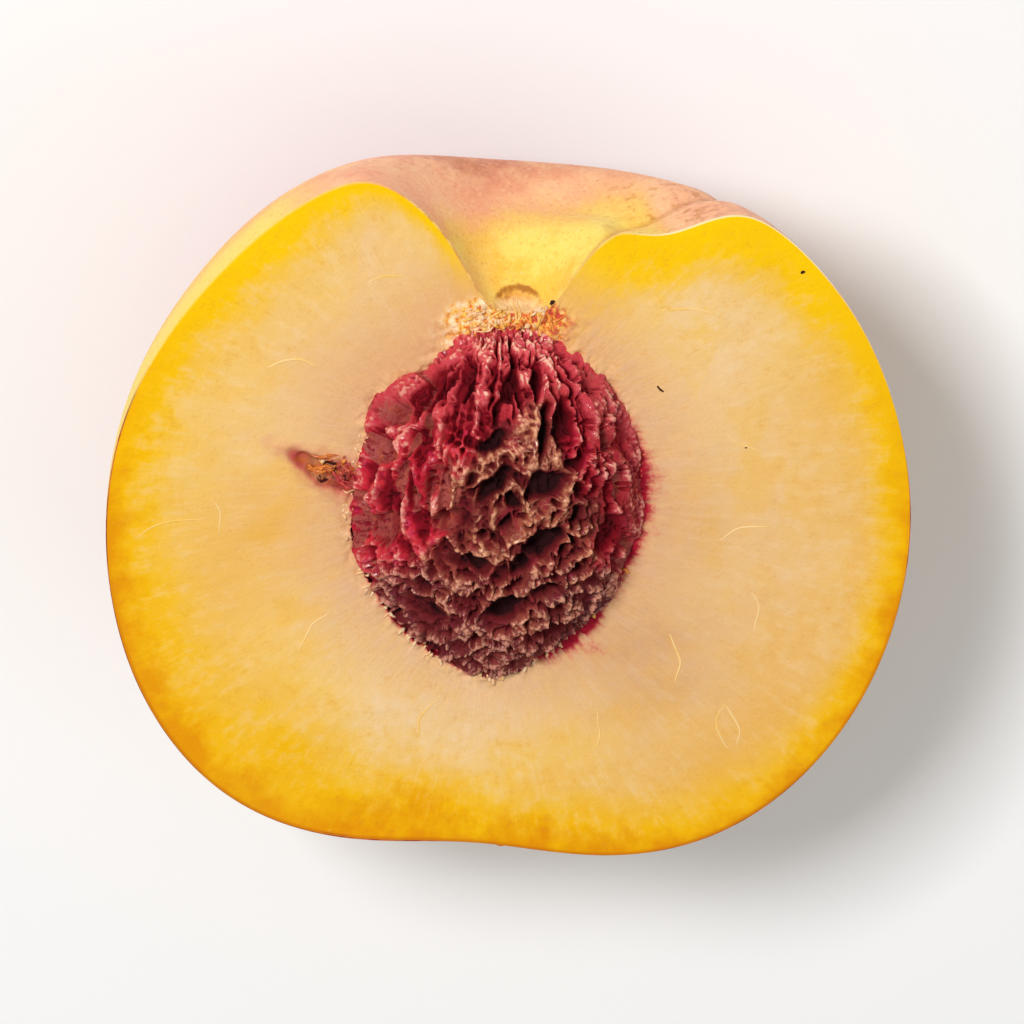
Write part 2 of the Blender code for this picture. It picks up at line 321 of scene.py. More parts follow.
# a mesh from points and sets of faces, with a number or a vector at each point for every field
def addPiece(name, points, faceSets, finish, slot, replaced=None, sharp=None, **fields):
    mesh = bpy.data.meshes.new(name)
    points = np.asarray(points, float)
    faceSets = [np.asarray(faces) for faces in faceSets if len(faces)]
    sizes = np.concatenate([np.full(len(faces), faces.shape[1]) for faces in faceSets])
    corners = np.concatenate([faces.ravel() for faces in faceSets])
    mesh.vertices.add(len(points))
    mesh.vertices.foreach_set("co", points.ravel())
    mesh.loops.add(len(corners))
    mesh.loops.foreach_set("vertex_index", corners.astype(np.int32))
    mesh.polygons.add(len(sizes))
    starts = np.concatenate([[0], np.cumsum(sizes)[:-1]])
    mesh.polygons.foreach_set("loop_start", starts.astype(np.int32))
    mesh.update(calc_edges=True)
    mesh.shade_smooth()
    if sharp:
        mesh.set_sharp_from_angle(angle=math.radians(sharp))
    for field, values in fields.items():
        values = np.asarray(values, np.float32)
        kind = "FLOAT" if values.ndim == 1 else "FLOAT_VECTOR"
        key = "value" if values.ndim == 1 else "vector"
        mesh.attributes.new(field, kind, "POINT").data.foreach_set(key, values.ravel())
    mesh.materials.append(finish.material)
    piece = bpy.data.objects.new(name, mesh)
    bpy.context.scene.collection.objects.link(piece)
    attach(piece, "root")
    if replaced:
        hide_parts(replaced)
    print(f"{name}: {int((sizes - 2).sum())} triangles")


# The fruit's outside

fruit = {
    "radius": 38.5 * mm, "backRadius": 36.4 * mm, "eightSided": 0.34 * mm,
    "bowlDepth": 6.7 * mm, "bowlAngle": 23.3, "bowlLean": 5.5, "bowlSoftness": 2.4,
    "wellDepth": 9.1 * mm, "wellAngle": 11.4, "wellSoftness": 1.85,
    # degrees from the stem, degrees from straight behind towards +X, depth, spread
    "flattenings": [(174.5, -90, 5.4 * mm, 27), (49, -90, 1.15 * mm, 20),
                    (27, 0, 2.4 * mm, 24), (62, 60, 3.3 * mm, 27),
                    (60, 90, -0.6 * mm, 25)],
    "seamDepth": 0.8 * mm, "seamBehindCut": 24, "seamSpread": 2.6,
    "seamStart": 11, "seamEnd": 50,
    "middle": np.array([0.09 * mm, -0.1 * mm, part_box("flesh_and_skin")[1][2]]),
}


# degrees between unit directions and an axis
def angleFrom(directions, axis):
    return np.degrees(np.arccos(np.clip(directions @ np.asarray(axis), -1, 1)))


# the unit direction at degrees from the stem, leaning from straight behind to +X
def fruitAxis(fromStem, lean):
    fromStem, lean = np.radians(fromStem), np.radians(lean)
    level = np.sin(fromStem)
    return np.stack([level * np.sin(lean), np.cos(fromStem) + 0 * lean,
                     -level * np.cos(lean)], axis=-1)


# a bell curve across the seam, which starts and ends at degrees from the stem
def alongSeam(directions, fromStem, spread, start, end, softness):
    behind = np.degrees(np.arctan2(-directions[:, 2], directions[:, 0]))
    seamPlace = fruit["seamBehindCut"] * eased((fromStem - fruit["seamStart"]) / fruit["seamStart"])
    seam = hump((behind - seamPlace) * np.sin(np.radians(fromStem)), spread)
    return seam * stepDown(fromStem, end, softness) * (1 - stepDown(fromStem, start, 1))


# an ellipsoid, less the hollow at the stem, the flattenings and the seam groove
def fruitRadius(directions):
    x, y, z = directions.T
    fromStem = angleFrom(directions, (0, 1, 0))
    toRight = x / np.maximum(np.hypot(x, z), 1e-9)
    radius = 1 / np.sqrt((x**2 + y**2) / fruit["radius"] ** 2 + z**2 / fruit["backRadius"] ** 2)
    radius -= fruit["eightSided"] * np.cos(4 * np.radians(fromStem))
    bowlAngle = fruit["bowlAngle"] + fruit["bowlLean"] * toRight
    radius -= fruit["bowlDepth"] * stepDown(fromStem, bowlAngle, fruit["bowlSoftness"])
    radius -= fruit["wellDepth"] * stepDown(fromStem, fruit["wellAngle"], fruit["wellSoftness"])
    for angle, lean, depth, spread in fruit["flattenings"]:
        radius -= depth * hump(angleFrom(directions, fruitAxis(angle, lean)), spread)
    seam = alongSeam(directions, fromStem, fruit["seamSpread"], fruit["seamStart"], fruit["seamEnd"], 5)
    return radius - fruit["seamDepth"] * seam


# The stone

stone = {
    "middle": np.array([-1.5 * mm, 2.7 * mm, 0]),
    "half": np.array([13.7 * mm, 17.3 * mm, 9.6 * mm]),
    "bluntness": 0.28, "tipTaper": 0.2, "beak": 0.6 * mm, "gap": 0.3 * mm,
    # lobes of its edge: degrees from +X towards the stem, rise, spread in degrees
    "lobes": [(168, -0.45 * mm, 12), (147, 0.6 * mm, 8), (120, -1.75 * mm, 14),
              (62, -0.5 * mm, 16), (-35, 0.3 * mm, 12), (198, 0.3 * mm, 10)],
    "pitDepth": 2 * mm, "smallShare": 0.42, "pitSize": 2.9 * mm, "pitStretch": 2.6,
    "ridge": 0.42, "warp": 0.9 * mm, "viewTilt": 22, "outerReach": 1.5, "innerReach": 0.6,
    # large pits as seen from the tilt: mm right and up, half width, half length, turn, depth
    "pits": [
        (3.1, 11.3, 0.49, 1.8, 0, 1), (3.7, 6.5, 0.47, 2.5, 3, 1),
        (5.6, 7.5, 0.88, 2.1, 10, 1), (0.4, 10.7, 0.74, 1.8, 20, 1),
        (-3.8, 11.7, 0.78, 2.7, 10, 0.7), (-6.3, 11.1, 0.74, 1.5, 18, 0.7),
        (-10.6, 8.5, 1.27, 1.3, 0, 0.8), (-11.3, 4.7, 0.83, 1.3, 0, 0.8),
        (-11.7, -2.8, 1.32, 1.7, 0, 0.9), (-6.9, 1.9, 0.83, 1.8, 25, 0.6),
        (-1.2, 5.5, 0.78, 1.5, 55, 0.9), (-1.1, 1.3, 0.69, 2.3, 40, 1),
        (-5, -2.1, 0.88, 1.9, 75, 1), (4.3, 1.4, 1.23, 1.8, 70, 1),
        (7.5, 3.7, 0.64, 1, 20, 0.9), (3.9, -4.3, 1.03, 2.2, 55, 1.2),
        (1.8, -6.3, 0.83, 1.2, 30, 0.9), (9, 0.8, 0.49, 1.9, 20, 0.7),
        (11, -3.5, 1.1, 2.1, 40, 0.8), (-4, -6.1, 0.61, 2.1, 100, 1),
        (0.6, -10.6, 1.03, 2.2, 70, 1.2), (-7.4, -10.6, 1.13, 2.3, 125, 0.7),
        (5.3, -12.9, 0.69, 2.7, 70, 0.8), (4.2, -9, 0.74, 1.5, 80, 0.7),
    ],
    "across": 283, "buriedRows": 11,
    "ribWidth": 1.25 * mm, "ribLength": 8.5 * mm, "coralSize": 1.7 * mm, "crumbSize": 0.66 * mm,
    "carving": 1.3 * mm, "crumbling": 0.55 * mm, "grain": 0.2 * mm, "grainSize": 0.34 * mm,
    "bulge": 0.4 * mm, "notches": 0.5 * mm, "striae": 0.09 * mm, "unevenness": 0.12 * mm,
    # how far the relief leans over, and the depth at which a pit's colour is darkest, partly its own
    # dark tissue and partly painted shade
    "lean": 0.3 * mm, "pitShadeDepth": 2.3 * mm,
    # the width of a wall between cells and of its slope, the least depth of a hollow, the share of
    # cells that stay at it and the spread round that share
    "ribHollows": (0.1, 0.4, 0.45, 0.2, 0.3), "coralHollows": (0.06, 0.36, 0.3, 0.25, 0.3),
    "crumbHollows": (0.1, 0.3, 0, 0.35, 0.2),
    # where its edge and the flesh round it are the most torn, in degrees from the stem
    "tornSide": -140,
    # the tan coral: its middle and half sizes in mm right and up
    "tanMiddle": (1.8, -3.2), "tanHalf": (8.6, 11.2),
}


# a flattened egg with lobes at its edge, blunt at the stem end and beaked at the tip
def stoneEnvelope(directions, grown=0):
    for turn, rise, spread in stone["lobes"]:
        axis = fruitAxis(90 - turn, 90)
        grown = grown + rise * hump(angleFrom(directions, axis), spread)
    x, y, z = directions.T
    toStem, toTip = np.clip(y, 0, 1), np.clip(-y, 0, 1)
    across = 1 + stone["bluntness"] * toStem**6 - stone["tipTaper"] * toTip**2
    beak = stone["beak"] * np.clip((toTip - 0.9) / 0.1, 0, 1) ** 2
    halfWidth, halfLength, halfThickness = stone["half"]
    return np.stack([x * across * (halfWidth + grown), y * (halfLength + grown) - beak,
                     z * across * (halfThickness + grown)], axis=1)


# places on the stone in millimetres right and up, seen from the photograph's side
def asSeen(places):
    tilt = math.radians(stone["viewTilt"])
    up = (places[:, 1] * math.cos(tilt) - places[:, 2] * math.sin(tilt)) / mm
    return places[:, 0] / mm, up


# the small pits that the solid has too: cells with walls, longer towards the stem
def smallPits(places):
    cellPlaces = (places + stone["warp"] * shifts(places, 11, 5)) / stone["pitSize"]
    stemShare = eased(0.4 + places[:, 1] / stone["half"][1])
    cellPlaces[:, 1] /= 1 + (stone["pitStretch"] - 1) * stemShare
    return eased(cells(cellPlaces, 3)[1] / stone["ridge"])


# the deepest of the listed pits at each place
def largePits(places):
    right, up = asSeen(places)
    right = right + 0.25 * softNoise(places, 21, 1.6)
    up = up + 0.25 * softNoise(places, 22, 1.6)
    deepest = np.zeros(len(places))
    for pitRight, pitUp, halfWidth, halfLength, turn, depth in stone["pits"]:
        cosine, sine = math.cos(math.radians(turn)), math.sin(math.radians(turn))
        across = (right - pitRight) * cosine - (up - pitUp) * sine
        along = (right - pitRight) * sine + (up - pitUp) * cosine
        reach = np.hypot(across / halfWidth, along / halfLength)
        share = (stone["outerReach"] - reach) / (stone["outerReach"] - stone["innerReach"])
        deepest = np.maximum(deepest, depth * eased(share))
    return deepest


# hollows between the walls of cells, some deep and some hardly sunk
def hollows(cellPlaces, salt, kind):
    wall, slope, least, rare, spread = stone[kind]
    _, border, owner = cells(cellPlaces, salt)
    return eased((border - wall) / slope) * (least + (1 - least) * eased((owner - rare) / spread))


# Relief goes inwards from the envelope: the solid's pits, then ridges between hollows (ribs at the
# stem end and left, coral elsewhere), round holes in the ridges, and grains
def makeStone(finish):
    reach, turn, square, outline = discGrid(stone["across"])
    down = np.abs(reach) * np.pi / 2
    turn = np.where(reach < 0, turn + np.pi, turn)
    buried = np.linspace(np.pi / 2, np.pi, stone["buriedRows"])[1:-1]
    ringTurn = np.tile(turn[outline], len(buried))
    down = np.concatenate([down, np.repeat(buried, len(outline)), [np.pi]])
    turn = np.concatenate([turn, ringTurn, [0]])
    directions = np.stack([np.sin(down) * np.cos(turn), np.sin(down) * np.sin(turn),
                           np.cos(down)], axis=1)
    places = stoneEnvelope(directions)
    right, up = asSeen(places)
    above = places[:, 2] / mm
    large, small = largePits(places), smallPits(places)

    # the ribs' hollows are long, the coral's round
    narrowing = np.sqrt(np.clip(1 - (places[:, 1] / (1.06 * stone["half"][1])) ** 2, 0.05, 1))
    ribPlaces = np.stack([places[:, 0] / narrowing / stone["ribWidth"],
                          places[:, 1] / stone["ribLength"], 0.4 + 0 * above], axis=1)
    ribs = hollows(ribPlaces + 0.28 * shifts(places, 31, 2.2), 41, "ribHollows")
    coral = hollows(places / stone["coralSize"] + 0.7 * shifts(places, 51, 1.9), 61, "coralHollows")
    wander = 2 * cloud(places, 101, 3.5)
    tanRight, tanUp = stone["tanMiddle"]
    reachOut = np.hypot((right - tanRight) / stone["tanHalf"][0], (up - tanUp) / stone["tanHalf"][1])
    patches = cloud(places, 111, 1.7)
    tan = eased((1.08 - reachOut + 0.12 * wander + 0.35 * patches) / 0.3)
    low = eased((-5 - up + wander) / 3)
    left = eased((-right - 3.5 - 0.2 * up + wander) / 2.5) * (1 - low)
    ribShare = np.maximum(eased((up - 4.5 + wander) / 3.5), eased((right - 8 + 0.5 * wander) / 2))
    ribShare = np.maximum(ribShare, left * eased((up + 6) / 3))
    carved = ribShare * ribs + (1 - ribShare) * coral
    crumbs = hollows(places / stone["crumbSize"] + 0.5 * shifts(places, 74, 1), 77, "crumbHollows")
    grains, _, _ = cells(places / stone["grainSize"] + 0.3 * shifts(places, 84, 1), 81)
    around = np.degrees(np.arctan2(places[:, 0] / stone["half"][0], places[:, 2] / stone["half"][2]))
    striae = np.stack([around / 2.1, places[:, 1] / (2.4 * mm), 0 * above], axis=1)
    striae = ribShare * softNoise(striae + 0.5 * shifts(places, 97, 1.3), 98)

    calm = 1 - 0.5 * np.clip(large, 0, 1) * (1 - 0.7 * left)
    solidShare = np.maximum(large, (stone["smallShare"] + 0.15 * left) * small)
    atEdge = eased((above + 0.1) / 1.2)
    stemTurn = np.degrees(np.arctan2(directions[:, 0], directions[:, 1]))
    torn = lobe(stemTurn, stone["tornSide"], 36)
    depth = stone["pitDepth"] * solidShare * np.clip((above - 0.2) / 1.6, 0, 1)
    rough = (stone["carving"] * carved + stone["crumbling"] * crumbs) * calm
    rough += stone["grain"] * (grains - 0.1) * (0.2 + 0.35 * left + 0.8 * (1 - carved) * calm)
    rough += stone["unevenness"] * (1 + cloud(places, 93, 0.6, 2))
    rough += stone["striae"] * (ribShare + striae)
    depth += rough * atEdge
    notched = eased(0.2 + 1.6 * cloud(places, 113, 1.1, 2)) * torn
    depth += stone["notches"] * notched * hump(above - 0.4, 1.3)
    depth -= stone["bulge"] * (1 - carved) * (1 - small) * hump(above - 0.4, 1.6)
    inward = unit(places / stone["half"] ** 2)
    sideways = shifts(places, 95, 1.1) * stone["lean"] * eased((above - 0.8) / 2)[:, None]
    sideways -= inward * (sideways * inward).sum(axis=1)[:, None]
    points = places - inward * depth[:, None] + sideways

    # crest marks the ridge tops where the finish paints highlights
    crest = (1 - carved) * (1 - np.clip(1.2 * large, 0, 1)) * (0.3 + 0.7 * (1 - small))
    crest *= (1 - 0.6 * crumbs) * (1.25 - grains) * (1 - 0.7 * striae)
    # the foot is painted darker all round, damp tissue together with a painted contact shadow, most
    # where it is torn; pit grows with depth and is partly the pits' own dark tissue, partly painted
    # shade in the recesses
    footShadowAndDamp = hump(above - 0.1, 0.9) * (0.2 + 0.5 * torn)
    pit = np.clip(depth / stone["pitShadeDepth"] + footShadowAndDamp, 0, 1.5)
    membrane = left * np.maximum(np.clip(large, 0, 1), eased((carved - 0.25) / 0.4))
    membrane = np.maximum(membrane, ribShare * eased((right - 6) / 3) * ribs * 0.8)

    start = len(square.ravel())
    ringIndex = start + np.arange(len(ringTurn)).reshape(len(buried), -1)
    rings = np.concatenate([outline[None], ringIndex])
    points = points + stone["middle"] + fruit["middle"]
    faceSets = [quads(square, flip=True), quads(rings, closed=True),
                fan(len(points) - 1, ringIndex[-1], flip=True)]
    addPiece("peach_stone", points, faceSets, finish, "stone", "stone", pit=pit, tan=tan,
             crest=crest, low=low, membrane=membrane, right=right, crumb=crumbs * calm,
             upper=eased((up - 5) / 5))


# crimson and pink ribs with painted highlights on their crests, tan coral, dark wet pits whose darkness
# is partly their own and partly painted shade
def stoneFinish():
    finish = Finish("stone", {"Specular IOR Level": 0.16, "Coat Roughness": 0.12, "Coat IOR": 1.45})
    pit, tan, crest, low, membrane, right, crumb, upper = finish.attributes(
        "pit", "tan", "crest", "low", "membrane", "right", "crumb", "upper")
    blotch = finish.noise(2.6 * mm, 3)
    patchy = finish.noise(1.3 * mm, 2)
    fine = finish.noise(0.4 * mm, 3, 0.65)
    # painted highlights on the ridge crests
    paintedHighlight = crest * 1.1 + fine.swing(1.3)
    crimson = finish.mix((176, 14, 46), (206, 40, 52), blotch.step(0.35, 0.65))
    crimson.lay((182, 22, 84), patchy.step(0.55, 0.7) * 0.6)
    crimson.lay((140, 40, 44), right.step(7, 10.5) * 0.7)
    crimson.lay((218, 84, 88), upper * 0.5)
    rosyShare = 1 - 0.5 * right.step(-2, -6) - 0.45 * right.step(4, 9)
    # pink and then pale painted highlights on the crimson crests, fewer at the left and right
    crimson.lay((226, 98, 100), paintedHighlight.step(0.3, 0.7) * rosyShare * 0.7)
    crimson.lay((255, 190, 164), paintedHighlight.step(0.65, 1.15) * rosyShare)
    brown = finish.mix((158, 76, 58), (118, 44, 40), blotch.step(0.35, 0.65))
    brown.lay((150, 40, 50), patchy.step(0.48, 0.64) * 0.75)
    # painted highlight on the tan coral's crests
    brown.lay((230, 160, 120), paintedHighlight.step(0.4, 1.05))
    purple = finish.mix((136, 54, 48), (106, 28, 40), blotch.step(0.35, 0.65))
    purple.lay((74, 20, 34), right.step(1, 8) * 0.45)
    # painted highlight on the crests of the lower part
    purple.lay((222, 150, 126), paintedHighlight.step(0.4, 1) * 0.9)
    surface = finish.mix(finish.mix(crimson, purple, low), brown, tan * (1 - 0.45 * low))
    skinTone = finish.mix((166, 82, 74), (186, 94, 60), patchy.step(0.5, 0.66) * fine.step(0.4, 0.6))
    skinTone.lay((126, 18, 38), (fine * 0.6 + patchy * 0.4).step(0.5, 0.36))
    surface.lay(skinTone, (membrane + fine.swing(1.2)).step(0.25, 0.75) * 0.9)
    earthy = tan.atLeast(low)
    # darker pits and crumb holes: partly the tissue's own dark colour, partly painted shade in the
    # recesses
    pitShadeTone = finish.mix((128, 6, 24), finish.mix((92, 26, 24), (112, 18, 30), patchy), earthy)
    surface.lay(pitShadeTone, crumb.step(0.3, 0.9) * 0.6)
    # deep spreads the painted shade through the pits by their depth; it also keeps the pits rough and
    # without coat
    deep = (pit + fine.swing(0.3)) * (1 - 0.6 * membrane)
    surface.lay(pitShadeTone, deep.step(0.34, 0.62))
    surface.lay(finish.mix((78, 2, 12), (42, 8, 11), earthy), deep.step(0.6, 0.92))
    moist = fine.step(0.44, 0.58)
    finish.feed(Base_Color=surface, Roughness=0.85 - 0.65 * fine.step(0.52, 0.64) * deep.step(0.55, 0.2),
                Coat_Weight=moist * deep.step(0.45, 0.15) * (1 - 0.9 * membrane.step(0.1, 0.5)))
    finish.bump(fine, 0.2 * mm, 0.8)
    return finish


makeStone(stoneFinish())


# The cut flesh

flesh = {
    "columns": 760, "socketRows": 11, "faceRows": 94, "hiddenRows": 13, "crowding": 1.25,
    "skinThickness": 0.26 * mm,
    # the split: middle in mm, half length, half width, turn and depth
    "split": (-18.2, 6.1, 3.3, 1.2, -27), "splitDepth": 0.95,
    # mm of yellow under the skin: base, then degrees from the stem, extra width, spread
    "bandWidth": 2.6, "bandExtra": [(-148, 2.5, 28), (33, 1.6, 12), (17, 2.2, 8),
                                    (168, 1.1, 30), (-14, -1.8, 14), (205, 1, 20),
                                    (-112, 1.1, 24)],
    # fields of another tone: mm from the middle, spread, how much paler (or golden), and how much
    # duller, the dulling being painted shade, mostly where the stone's shadow falls at its lower right
    "fields": [(-12, -19.5, 7.5, 0.9, 0), (-2, -20.5, 5.5, 0.8, 0), (15, 23.5, 5, 0.9, 0),
               (20.5, 18, 5, 0.5, 0), (13, -13, 7.5, 0, 1), (17, 1, 6, 0, 0.4),
               (-24, -0.5, 6, -0.9, 0.1), (-31, -11, 9, -0.5, 0), (-21, -24, 6, -0.9, 0),
               (20.5, -25.5, 4.5, -1, 0), (26, -20, 5, -0.6, 0), (30.5, 13, 6, -0.5, 0)],
}


# distances from a place in the split's own ellipse, stretched and widened towards the stone
def splitReach(flat, stretch):
    middleX, middleY, halfLength, halfWidth, turn = flesh["split"]
    cosine, sine = math.cos(math.radians(turn)), math.sin(math.radians(turn))
    offX, offY = flat[:, 0] - middleX, flat[:, 1] - middleY
    along, across = offX * cosine + offY * sine, offY * cosine - offX * sine
    halfWidth = halfWidth * (1 + 0.35 * np.clip(along / halfLength, -1, 1.5))
    return np.hypot(along / (halfLength * (1 + stretch * (along > 0))), across / halfWidth)


# rows from the socket's depth over the lip and the cut to the rim, then down the hidden body
def makeFlesh(finish):
    half = np.linspace(-1, 1, flesh["columns"], endpoint=False)
    fromStem = 180 * np.sign(half) * np.abs(half) ** flesh["crowding"]
    level = np.stack([np.sin(np.radians(fromStem)), np.cos(np.radians(fromStem)),
                      0 * fromStem], axis=1)
    rim = level * fruitRadius(level)[:, None]
    along = np.roll(rim, -1, axis=0) - np.roll(rim, 1, axis=0)
    outward = np.stack([-along[:, 1], along[:, 0], 0 * fromStem], axis=1)
    outward *= np.sign((outward * rim).sum(axis=1))[:, None]
    edge = rim - unit(outward) * (flesh["skinThickness"] - 0.1 * mm)

    # the socket's wall, up to a torn lip that meets the stone unevenly
    socket = []
    for angle in np.linspace(np.pi, np.pi / 2, flesh["socketRows"] + 1)[1:]:
        directions = level * math.sin(angle) + np.array([0, 0, math.cos(angle)])
        socket.append(stoneEnvelope(directions, stone["gap"]) + stone["middle"])
    lip = socket[-1].copy()
    fray = 0.4 + 0.2 * cloud(lip, 201, 0.8) + 0.14 * softNoise(lip, 204, 0.25)
    fray -= 0.36 * lobe(fromStem, stone["tornSide"], 34)
    lip += unit(stone["middle"] - lip) * (np.clip(fray, -0.1, 0.8) * mm)[:, None]
    socket[-1] = lip

    share = np.linspace(0, 1, flesh["faceRows"] + 1)[1:]
    share = 0.6 * share + 0.4 * (0.5 - 0.5 * np.cos(np.pi * share))
    face = lip[None] + (edge - lip)[None] * share[:, None, None]

    # the hidden body under the skin, drawn in so that it never shows
    hidden = []
    for angle in np.radians(90 * (np.arange(1, flesh["hiddenRows"]) / flesh["hiddenRows"]) ** 1.6):
        directions = level * math.cos(angle) - np.array([0, 0, math.sin(angle)])
        inset = 0.45 * mm + 1.2 * mm * eased(angle / 0.35)
        hidden.append(directions * (fruitRadius(directions) - inset)[:, None])
    grid = np.concatenate([np.array(socket), face, np.array(hidden)])
    rows, columns = grid.shape[:2]
    points = grid.reshape(-1, 3)
    faceStart, faceEnd = flesh["socketRows"] - 1, flesh["socketRows"] + flesh["faceRows"]
    inFace = np.zeros((rows, columns), bool)
    inFace[faceStart:faceEnd] = True
    inFace = inFace.ravel()

    # distances in the cut: to the skin, by the nearest point of the rim, and to the stone
    flat = points[:, :2] / mm
    toRim, nearestTurn = np.zeros(len(points)), np.zeros(len(points))
    for first in range(0, len(points), 4000):
        gaps = np.linalg.norm(flat[first:first + 4000, None] - rim[None, :, :2] / mm, axis=2)
        toRim[first:first + 4000] = gaps.min(axis=1)
        nearestTurn[first:first + 4000] = fromStem[gaps.argmin(axis=1)]
    toStone = np.linalg.norm(points - np.tile(lip, (rows, 1)), axis=1) / mm
    toStone[:faceStart * columns] = 0
    turn = np.tile(fromStem, rows)
    streak = np.stack([np.cos(np.radians(turn)), np.sin(np.radians(turn)), toStone / 30], axis=1)
    width = flesh["bandWidth"] + sum(extra * lobe(nearestTurn, angle, spread)
                                     for angle, extra, spread in flesh["bandExtra"])
    band = toRim / np.maximum(width, 0.5)

    paler, duller = np.zeros(len(points)), np.zeros(len(points))
    for fieldX, fieldY, spread, pale, dull in flesh["fields"]:
        nearby = hump(np.hypot(flat[:, 0] - fieldX, flat[:, 1] - fieldY), spread)
        paler += pale * nearby
        duller += dull * nearby

    # relief in mm: gentle waves, radial fibres, a frayed lip and the split
    height = 0.1 * softNoise(points, 211, 9) + 0.05 * softNoise(points, 212, 3)
    strands = softNoise(streak * np.array([70, 70, 9]), 213)
    strands += 0.6 * softNoise(streak * np.array([150, 150, 14]), 214)
    height += strands * (0.004 + 0.03 * np.exp(-toStone / 1.2))
    lumps = cloud(points, 215, 0.8)
    height += hump(toStone, 0.9) * (0.1 + 0.55 * lumps) + 0.03 * lumps
    height = height * (1 - hump(toRim, 0.5)) + 0.03
    wobbled = flat + 0.35 * shifts(points, 216, 0.9)[:, :2]
    reach = splitReach(wobbled, 0.6)
    split = eased((1.25 - reach) / 0.8)
    height -= split * flesh["splitDepth"] * (0.8 + 0.7 * cloud(points, 218, 0.6, 2))
    height += 0.14 * hump(reach - 1.4, 0.25)

    # torn yellow tissue between the stone and the hollow
    tissue = hump(turn, 18) * eased((4.4 - toStone) / 2)
    ropes = softNoise(streak * np.array([40, 40, 5]) + 0.3 * shifts(points, 221, 1.3), 219)
    domes = 1 - cells(points / (0.62 * mm), 224)[0]
    height += tissue * (0.1 + 0.4 * ropes + 0.35 * lumps + 0.55 * domes)
    points[:, 2] += np.where(inFace, height, 0) * mm

    # red where the stone touched the flesh, mostly on its right, and by the split
    strength = 0.2 + 0.8 * lobe(turn, 92, 36) + 1.3 * lobe(turn, 142, 16)
    strength += 0.35 * lobe(turn, -60, 40) + 0.5 * lobe(turn, stone["tornSide"], 30)
    reachOut = 0.25 + 0.85 * lobe(turn, 88, 30) + 0.9 * lobe(turn, 141, 14)
    blurred = 0.35 * strands + 0.5 * softNoise(points, 222, 1.4)
    halo = strength * np.exp(-toStone / (reachOut * (1 + blurred.clip(-0.8, 1.4))))
    halo[:faceStart * columns] = 0.8

    poles = np.array([[0, 0, -stone["half"][2] - stone["gap"]], [0, 0, 1.7 * mm - fruit["backRadius"]]])
    poles[0] += stone["middle"]
    allPoints = np.concatenate([points, poles]) + fruit["middle"]
    index = np.arange(rows * columns).reshape(rows, columns)
    faceSets = [quads(index, closed=True, flip=True), fan(rows * columns, index[0]),
                fan(rows * columns + 1, index[-1], flip=True)]
    fields = dict(band=band, toRim=toRim, toStone=toStone, streak=streak, halo=halo, split=split,
                  stain=0.7 * hump(reach, 1.9), tissue=tissue, paler=paler, duller=duller)
    for name, values in fields.items():
        fields[name] = np.concatenate([values, np.zeros((2, *values.shape[1:]))])
    addPiece("peach_flesh", allPoints, faceSets, finish, "flesh", "flesh_and_skin", 75, **fields)
    return points[inFace], lip


